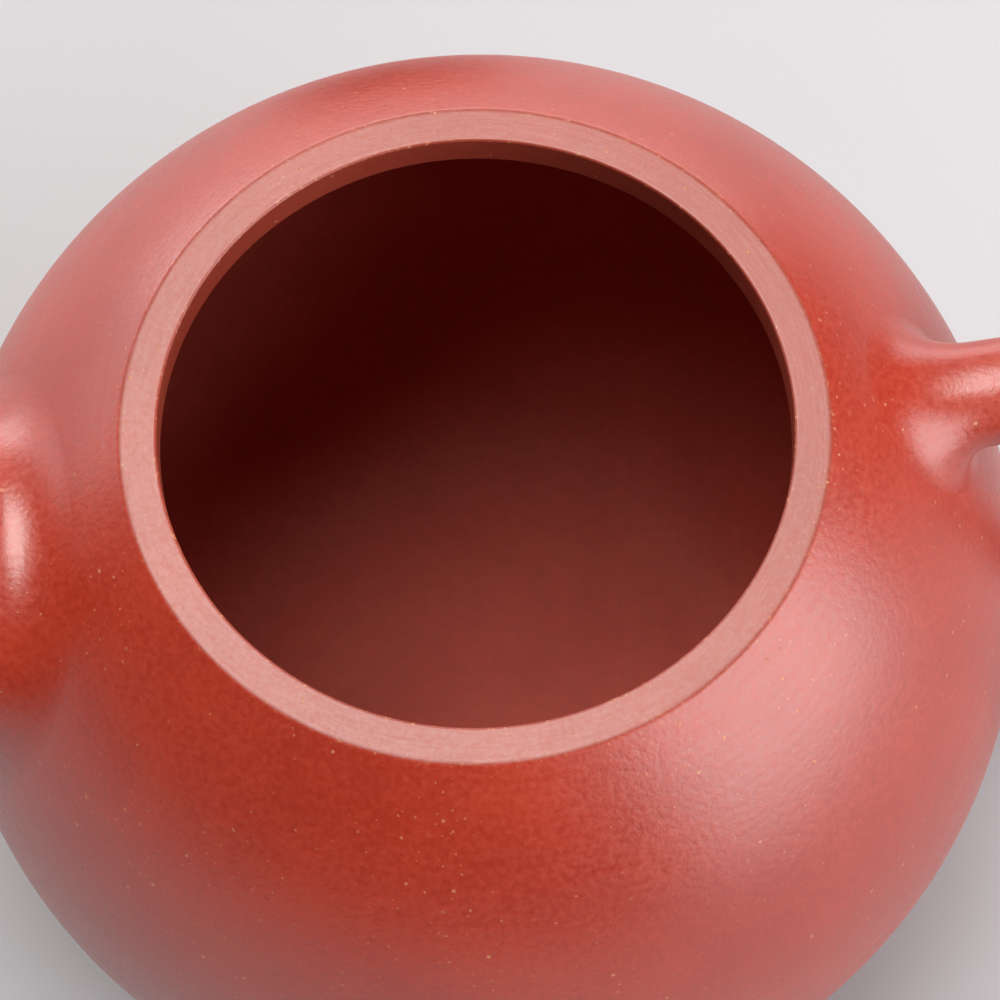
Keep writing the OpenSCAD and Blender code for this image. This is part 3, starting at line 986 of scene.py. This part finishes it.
def sand_grains_group():
    """Grains scattered in the clay: cells of the given size, of which the given share holds a
    grain of its own radius, more in some patches than in others. Mask is 1 on a grain, and Shade
    varies from grain to grain."""
    wires, given, result = new_group(
        "Sand grains", [("Cell size", 0.001), ("Share", 0.2)], ["Mask", "Shade"]
    )
    place = wires.place()
    scaled = wires.in_steps(place, given["Cell size"])
    offset = wires.scaled(wires.noise(scaled, 7.0, 1.0)["Color"], GRAIN_RAGGED)
    cells = wires.node("ShaderNodeTexVoronoi", {"Vector": wires.added(scaled, offset), "Scale": 1.0})
    chance = wires.node("ShaderNodeSeparateColor", {"Color": cells.outputs["Color"]}).outputs
    radius = wires.maths("MULTIPLY_ADD", chance["Green"], GRAIN_SPREAD_R, GRAIN_LEAST_R)
    inner = wires.maths("MULTIPLY", radius, GRAIN_CORE)
    inside = wires.ramp(cells.outputs["Distance"], radius, inner)
    patches = wires.noise(place, PATCH_SCALE, 1.0)["Fac"]
    patchy = wires.ramp(patches, 0.4, 0.68, *PATCH_FACTORS)
    share = wires.maths("MULTIPLY", given["Share"], patchy)
    held = wires.maths("LESS_THAN", chance["Red"], share)
    wires.put(result["Mask"], wires.maths("MULTIPLY", inside, held))
    wires.put(result["Shade"], chance["Blue"])
    return wires.tree


def clay_skin_group():
    """The clay's own skin: Fine is the orange-peel of pressed clay at the given size, and Broad
    is a slow drift of tone over the piece."""
    wires, given, result = new_group("Clay skin", [("Peel size", 0.0005)], ["Fine", "Broad"])
    place = wires.place()
    scaled = wires.in_steps(place, given["Peel size"])
    wires.put(result["Fine"], wires.noise(scaled, 1.0, 3.0, 0.55)["Fac"])
    wires.put(result["Broad"], wires.noise(place, 70.0, 3.0, 0.6)["Fac"])
    return wires.tree


def edge_wear_group():
    """Chips and rubbing along edges: Mask is 1 on a chip of the given size where the piece's edge
    share is high."""
    wires, given, result = new_group("Edge wear", [("Chip size", 0.0004)], ["Mask"])
    place = wires.place()
    edge = wires.node("ShaderNodeAttribute", attribute_name="edge").outputs["Fac"]
    scaled = wires.in_steps(place, given["Chip size"])
    chips = wires.ramp(wires.noise(scaled, 1.0, 2.0)["Fac"], 0.58, 0.74)
    wires.put(result["Mask"], wires.maths("MULTIPLY", chips, edge))
    return wires.tree


def rubbed_lines_group():
    """Lines left by the turning tool or the burnishing horn, across the piece's strokes."""
    wires, given, result = new_group("Rubbed lines", [("Spacing", 0.2)], ["Lines"])
    stroke = wires.node("ShaderNodeAttribute", attribute_name="stroke").outputs["Vector"]
    scaled = wires.in_steps(stroke, given["Spacing"])
    wires.put(result["Lines"], wires.noise(scaled, 1.0, 2.0, 0.6)["Fac"])
    return wires.tree


# ---- Clay ----

# How far each kind of speck replaces the clay's tone
GRAIN_STRENGTH = 0.55
DUST_STRENGTH = 0.35
CHIP_STRENGTH = 0.4
# Dust is finer and commoner than the grains, by these factors
DUST_SIZE = 0.62
DUST_SHARE = 2.2
CHIP_SIZE = 0.0004
# The mottle's shares of the skin's two patterns, and the step from the darker to the lighter tone
FINE_SHARE = 0.45
BROAD_SHARE = 0.55
MOTTLE_STEP = (0.36, 0.64)
# How much rougher a grain is than the clay, and the roughness that nothing passes
GRAIN_ROUGHER = 0.2
MOST_ROUGH = 0.95


def new_material(name):
    material = bpy.data.materials.new(name)
    material.use_nodes = True
    return material, Wires(material.node_tree), material.node_tree.nodes["Principled BSDF"]


def placed_group(wires, name, **inputs):
    made = wires.node("ShaderNodeGroup", node_tree=bpy.data.node_groups[name])
    for label, value in inputs.items():
        wires.put(made.inputs[label.replace("_", " ")], value)
    return made.outputs


def clay(name, look):
    """A clay finish: two tones of clay mottled by its skin, grains of sand, and a skin whose
    height and roughness follow the orange peel, the rubbed lines and the grains."""
    material, wires, shader = new_material(name)
    skin = placed_group(wires, "Clay skin", Peel_size=look.peel_size)
    lines = placed_group(wires, "Rubbed lines", Spacing=look.line_spacing)["Lines"]
    coarse = placed_group(wires, "Sand grains", Cell_size=look.grain_cell, Share=look.grain_share)
    dust_cell = DUST_SIZE * look.grain_cell
    dust = placed_group(wires, "Sand grains", Cell_size=dust_cell, Share=DUST_SHARE * look.grain_share)

    broad = wires.maths("MULTIPLY", skin["Broad"], BROAD_SHARE)
    mottle = wires.maths("MULTIPLY_ADD", skin["Fine"], FINE_SHARE, broad)
    clay_tone = wires.tint(wires.ramp(mottle, *MOTTLE_STEP), (*look.dark, 1), (*look.light, 1))
    grain_tone = wires.tint(coarse["Shade"], (*look.grain_dark, 1), (*look.grain_light, 1))
    dust_tone = wires.tint(dust["Shade"], (*look.grain_dark, 1), (*look.grain_light, 1))
    speckled = wires.tint(wires.maths("MULTIPLY", dust["Mask"], DUST_STRENGTH), clay_tone, dust_tone)
    worn = placed_group(wires, "Edge wear", Chip_size=CHIP_SIZE)["Mask"]
    rubbed = wires.tint(wires.maths("MULTIPLY", worn, CHIP_STRENGTH), speckled, (*look.grain_light, 1))
    strong = wires.maths("MULTIPLY", coarse["Mask"], GRAIN_STRENGTH)
    wires.put(shader.inputs["Base Color"], wires.tint(strong, rubbed, grain_tone))

    uneven = wires.maths("MULTIPLY", wires.maths("SUBTRACT", skin["Fine"], 0.5), look.rough_mottle)
    streak = wires.maths("MULTIPLY", wires.maths("SUBTRACT", lines, 0.5), look.rough_streak)
    roughness = wires.maths("ADD", wires.maths("ADD", uneven, streak), look.roughness)
    rough_grain = wires.maths("MULTIPLY_ADD", coarse["Mask"], GRAIN_ROUGHER, roughness)
    wires.put(shader.inputs["Roughness"], wires.maths("MINIMUM", rough_grain, MOST_ROUGH))

    peel = wires.maths("MULTIPLY", skin["Fine"], look.peel_depth)
    scored = wires.maths("MULTIPLY_ADD", lines, look.line_depth, peel)
    height = wires.maths("MULTIPLY_ADD", coarse["Mask"], look.grain_height, scored)
    bump = wires.node("ShaderNodeBump", {"Height": height, "Strength": 1.0, "Distance": 1e-6})
    wires.put(shader.inputs["Normal"], bump.outputs["Normal"])
    shader.inputs["Specular IOR Level"].default_value = look.gloss
    return material


def length_property(name, description, default):
    return FloatProperty(name=name, description=description, default=default, unit="LENGTH")


def number(name, description, default, **more):
    return FloatProperty(name=name, description=description, default=default, **more)


def share_of_one(name, description, default):
    return number(name, description, default, min=0, max=1)


def angle_property(name, description, degrees):
    return number(name, description, math.radians(degrees), subtype="ANGLE")


def tone_property(name, description, default):
    return FloatVectorProperty(
        name=name, description=description, default=default, subtype="COLOR", min=0, max=1
    )


class ClayLook(bpy.types.PropertyGroup):
    """The finish of one kind of clay surface. Depths of the skin are in micrometres."""

    dark: tone_property("Darker tone", "Clay between its lighter patches", (0.32, 0.021, 0.007))
    light: tone_property("Lighter tone", "Clay's lighter patches", (0.395, 0.031, 0.010))
    grain_dark: tone_property("Rust grain", "Darkest sand grains", (0.42, 0.10, 0.04))
    grain_light: tone_property("Golden grain", "Lightest sand grains", (0.66, 0.33, 0.15))
    grain_cell: length_property("Grain spacing", "Distance between places for a grain", 0.0009)
    grain_share: share_of_one("Grain share", "Share of the places that hold a grain", 0.20)
    grain_height: number("Grain height", "How far a grain stands up, in micrometres", 8)
    peel_size: length_property("Peel size", "Width of the skin's orange peel", 0.00045)
    peel_depth: number("Peel depth", "Depth of the orange peel, in micrometres", 26)
    line_spacing: number("Line spacing", "Width of the rubbed lines, in millimetres", 0.35)
    line_depth: number("Line depth", "Depth of the rubbed lines, in micrometres", 6)
    roughness: share_of_one("Roughness", "Mean roughness of the skin", 0.35)
    rough_mottle: number("Rough mottle", "How much the roughness follows the peel", 0.25)
    rough_streak: number("Rough streak", "How much the roughness follows the lines", 0.15)
    gloss: share_of_one("Gloss", "Strength of the surface reflection", 1.0)


class TeapotShape(bpy.types.PropertyGroup):
    """Small shapes of the clay that the frame leaves sharp or true, in millimetres."""

    wobble: number("Wobble", "Depth of the hand's unevenness", 0.1, min=0)
    mouth_outer_edge: number("Mouth outer edge", "Rounding where the cut face meets the body", 0.8)
    mouth_inner_edge: number("Mouth inner edge", "Rounding at the edge of the opening", 0.22)
    lip_edge: number("Spout lip", "Rounding of the spout's lip", 0.5)


class TeapotStage(bpy.types.PropertyGroup):
    """The floor, the lights and the camera. Angles are measured round the pot."""

    floor: tone_property("Floor", "Colour of the floor", (0.49, 0.492, 0.52))
    window: number("Window", "Brightness of the window light", 4.05)
    overhead: number("Overhead", "Brightness of the top light", 7.5)
    fill: number("Fill", "Brightness of the weak side lights", 2.0)
    room: number("Room", "Brightness of the room", 0.06)
    azimuth: angle_property("Azimuth", "Turn of the camera", -7)
    elevation: angle_property("Elevation", "Rise of the camera", 69.29)
    roll: angle_property("Roll", "Tilt of the picture", 1.84)
    distance: length_property("Distance", "From the camera to the pot's middle", 0.2524)
    lens: number("Lens", "Focal length in millimetres", 120.9)


def finish_clay(name):
    """The clay finish of that name, made the first time it is asked for."""
    found = bpy.data.materials.get(name)
    if found:
        return found
    for maker in (sand_grains_group, clay_skin_group, edge_wear_group, rubbed_lines_group):
        if maker.__name__ not in finish_clay.made:
            maker()
            finish_clay.made.add(maker.__name__)
    looks = {
        "Burnished clay": bpy.context.scene.teapot_burnished,
        "Cut clay": bpy.context.scene.teapot_cut,
        "Inside clay": bpy.context.scene.teapot_inside,
    }
    return clay(name, looks[name])


finish_clay.made = set()


def clays(*names):
    return [finish_clay(name) for name in names]


# ---- Stage ----

WARM = (1.0, 0.97, 0.92)
ROOM_TONE = (1.0, 0.98, 0.95, 1)
# How far the camera aims past the pot's middle, to its right and up, in metres
AIM = (0.00146, 0.00633)


def direction(azimuth, elevation):
    """From the pot towards a place that is turned by azimuth from -Y and rises by elevation."""
    a = math.radians(azimuth)
    e = math.radians(elevation)
    return Vector((math.sin(a) * math.cos(e), -math.cos(a) * math.cos(e), math.sin(e)))


def soft_light(name, azimuth, elevation, distance, width, height, radiance, colour=(1, 1, 1)):
    """A flat light turned to the pot's middle. Its power gives the radiance that is asked for."""
    light = bpy.data.lights.new(name, "AREA")
    light.shape = "RECTANGLE"
    light.size = width
    light.size_y = height
    light.energy = radiance * width * height * math.pi
    light.color = colour
    lamp = add_object(name, light)
    away = direction(azimuth, elevation)
    middle = Vector((0, 0, BELLY_Z * MM))
    turn = away.to_track_quat("Z", "Y").to_matrix().to_4x4()
    lamp.matrix_world = Matrix.Translation(middle + away * distance) @ turn
    lamp.visible_camera = False


def place_camera(look):
    """A camera that looks down on the pot, aimed a little past its middle and rolled."""
    middle = Vector((0, 0, BELLY_Z * MM))
    back = direction(math.degrees(look.azimuth), math.degrees(look.elevation))
    right = Vector((0, 0, 1)).cross(back).normalized()
    up = back.cross(right)
    rolled_right = right * math.cos(look.roll) - up * math.sin(look.roll)
    rolled_up = up * math.cos(look.roll) + right * math.sin(look.roll)
    aim = middle + rolled_right * AIM[0] + rolled_up * AIM[1]
    eye = middle + back * look.distance
    z_axis = (eye - aim).normalized()
    x_axis = rolled_up.cross(z_axis).normalized()
    y_axis = z_axis.cross(x_axis)
    data = bpy.data.cameras.new("View from above")
    data.lens = look.lens
    data.sensor_width = 36
    data.clip_start = 0.01
    data.clip_end = 20
    camera = add_object("View from above", data)
    turn = Matrix((x_axis, y_axis, z_axis)).transposed().to_4x4()
    camera.matrix_world = Matrix.Translation(eye) @ turn
    bpy.context.scene.camera = camera


def pale_floor(tone):
    """A flat square of pale board with the faintest mottle."""
    reach = 3.0
    mesh = bpy.data.meshes.new("floor")
    corners = [(-reach, -reach, 0), (reach, -reach, 0), (reach, reach, 0), (-reach, reach, 0)]
    mesh.from_pydata(corners, [], [(0, 1, 2, 3)])
    material, wires, shader = new_material("Pale board")
    place = wires.place()
    mottle = wires.noise(place, 30.0, 4.0)["Fac"]
    darker = [0.96 * value for value in tone]
    wires.put(shader.inputs["Base Color"], wires.tint(mottle, (*darker, 1), (*tone, 1)))
    shader.inputs["Roughness"].default_value = 0.7
    mesh.materials.append(material)
    add_object("floor", mesh)


# ---- Operators ----


class TEAPOT_OT_body(bpy.types.Operator):
    """Build the round wall, the base and the slip in its inner corner"""

    bl_idname = "teapot.body"
    bl_label = "Body and base"

    def execute(self, context):
        body_wall(clays("Burnished clay", "Inside clay"))
        base(clays("Burnished clay", "Inside clay"))
        base_fillet(clays("Inside clay"))
        return {"FINISHED"}


class TEAPOT_OT_mouth(bpy.types.Operator):
    """Build the shoulder with its flat cut face and the bead under it"""

    bl_idname = "teapot.mouth"
    bl_label = "Shoulder and mouth"

    def execute(self, context):
        shoulder(clays("Burnished clay", "Cut clay", "Inside clay"))
        mouth_bead(clays("Cut clay"))
        return {"FINISHED"}


class TEAPOT_OT_spout(bpy.types.Operator):
    """Build the spout and its luted root"""

    bl_idname = "teapot.spout"
    bl_label = "Spout"

    def execute(self, context):
        spout_root(clays("Burnished clay", "Inside clay"))
        spout_tube(clays("Burnished clay", "Inside clay"))
        return {"FINISHED"}


class TEAPOT_OT_strainer(bpy.types.Operator):
    """Give the pierced strainer behind the spout its finish"""

    bl_idname = "teapot.strainer"
    bl_label = "Strainer"

    def execute(self, context):
        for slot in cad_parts["strainer_disc"].material_slots:
            slot.material = finish_clay("Inside clay")
        return {"FINISHED"}


class TEAPOT_OT_handle(bpy.types.Operator):
    """Build the handle's strap and its two luted roots"""

    bl_idname = "teapot.handle"
    bl_label = "Handle"

    def execute(self, context):
        outside = clays("Burnished clay")
        handle_strap(outside)
        handle_root(
            "handle_upper_flare", "handle_upper_root", HANDLE_FROM, 1.0,
            HANDLE_TOP_UP, HANDLE_TOP_FOOT, outside,
        )
        handle_root(
            "handle_lower_flare", "handle_lower_root", HANDLE_TO, -1.0,
            HANDLE_LOW_UP, HANDLE_LOW_FOOT, outside,
        )
        return {"FINISHED"}


class TEAPOT_OT_lid(bpy.types.Operator):
    """Build the lid's dome, plate and collar, lying behind the pot"""

    bl_idname = "teapot.lid"
    bl_label = "Lid"

    def execute(self, context):
        lid_dome(clays("Burnished clay", "Cut clay"))
        lid_plate(clays("Burnished clay", "Cut clay"))
        lid_collar(clays("Cut clay"))
        return {"FINISHED"}


class TEAPOT_OT_knob(bpy.types.Operator):
    """Build the lid's ball knob and the slip round its neck"""

    bl_idname = "teapot.knob"
    bl_label = "Knob"

    def execute(self, context):
        lid_knob(clays("Burnished clay"))
        knob_root(clays("Burnished clay"))
        return {"FINISHED"}


class TEAPOT_OT_stage(bpy.types.Operator):
    """Lay the floor, hang the soft lights and place the camera"""

    bl_idname = "teapot.stage"
    bl_label = "Stage"

    def execute(self, context):
        look = context.scene.teapot_stage
        pale_floor(tuple(look.floor))
        turn = math.degrees(look.azimuth)
        # Each light: its turn from the camera's, rise, distance, width, height and radiance
        soft_light("Overhead", turn - 150, 76, 1.0, 0.76, 0.74, look.overhead, WARM)
        soft_light("Window", turn + 63, 24, 1.2, 1.15, 1.1, look.window)
        soft_light("Left back strip", turn - 130, 10, 1.2, 1.1, 0.4, look.fill)
        soft_light("Back", turn + 184, 10, 1.3, 2.2, 0.6, 1.4 * look.fill)
        world = bpy.data.worlds.new("Room")
        world.use_nodes = True
        background = world.node_tree.nodes["Background"]
        background.inputs["Color"].default_value = ROOM_TONE
        background.inputs["Strength"].default_value = look.room
        context.scene.world = world
        context.scene.view_settings.view_transform = "Standard"
        place_camera(look)
        return {"FINISHED"}


class TEAPOT_PT_panel(bpy.types.Panel):
    """Lists the steps that build the teapot and its looks"""

    bl_label = "Teapot"
    bl_space_type = "VIEW_3D"
    bl_region_type = "UI"
    bl_category = "Teapot"

    def draw(self, context):
        for step in STEPS:
            self.layout.operator(step.bl_idname)
        for name in SETTINGS:
            self.layout.separator()
            settings = getattr(context.scene, name)
            for field in settings.__annotations__:
                self.layout.prop(settings, field)


STEPS = (
    TEAPOT_OT_body,
    TEAPOT_OT_mouth,
    TEAPOT_OT_spout,
    TEAPOT_OT_strainer,
    TEAPOT_OT_handle,
    TEAPOT_OT_lid,
    TEAPOT_OT_knob,
    TEAPOT_OT_stage,
)
SETTINGS = {
    "teapot_burnished": ClayLook,
    "teapot_cut": ClayLook,
    "teapot_inside": ClayLook,
    "teapot_shape": TeapotShape,
    "teapot_stage": TeapotStage,
}
CLASSES = (ClayLook, TeapotShape, TeapotStage, *STEPS, TEAPOT_PT_panel)


def register():
    for made in CLASSES:
        bpy.utils.register_class(made)
    for name, group in SETTINGS.items():
        setattr(bpy.types.Scene, name, PointerProperty(type=group))


def unregister():
    for name in SETTINGS:
        delattr(bpy.types.Scene, name)
    for made in reversed(CLASSES):
        bpy.utils.unregister_class(made)


# The cut and the inside finishes, as changes from the burnished one
CHANGED_LOOKS = {
    "teapot_cut": {
        "dark": (0.265, 0.032, 0.016),
        "light": (0.315, 0.044, 0.023),
        "grain_cell": 0.0007,
        "grain_share": 0.18,
        "grain_height": 14,
        "peel_depth": 9,
        "peel_size": 0.0003,
        "line_spacing": 0.16,
        "line_depth": 7,
        "roughness": 0.42,
        "gloss": 0.8,
    },
    "teapot_inside": {
        # These tones are lighter than the burnished clay's: painted light that brightens the pot's
        # shaded inside
        "dark": (0.35, 0.052, 0.034),
        "light": (0.42, 0.066, 0.043),
        "grain_share": 0.02,
        "grain_light": (0.45, 0.16, 0.08),
        "roughness": 0.7,
        "gloss": 0.3,
        "peel_size": 0.0008,
        "peel_depth": 20,
        "line_spacing": 0.9,
        "line_depth": 12,
    },
}


def set_looks(scene):
    for name, changes in CHANGED_LOOKS.items():
        for field, value in changes.items():
            setattr(getattr(scene, name), field, value)


def main():
    register()
    set_looks(bpy.context.scene)
    bpy.ops.teapot.body()
    bpy.ops.teapot.mouth()
    bpy.ops.teapot.spout()
    bpy.ops.teapot.strainer()
    bpy.ops.teapot.handle()
    bpy.ops.teapot.lid()
    bpy.ops.teapot.knob()
    bpy.ops.teapot.stage()


if __name__ == "__main__":
    main()
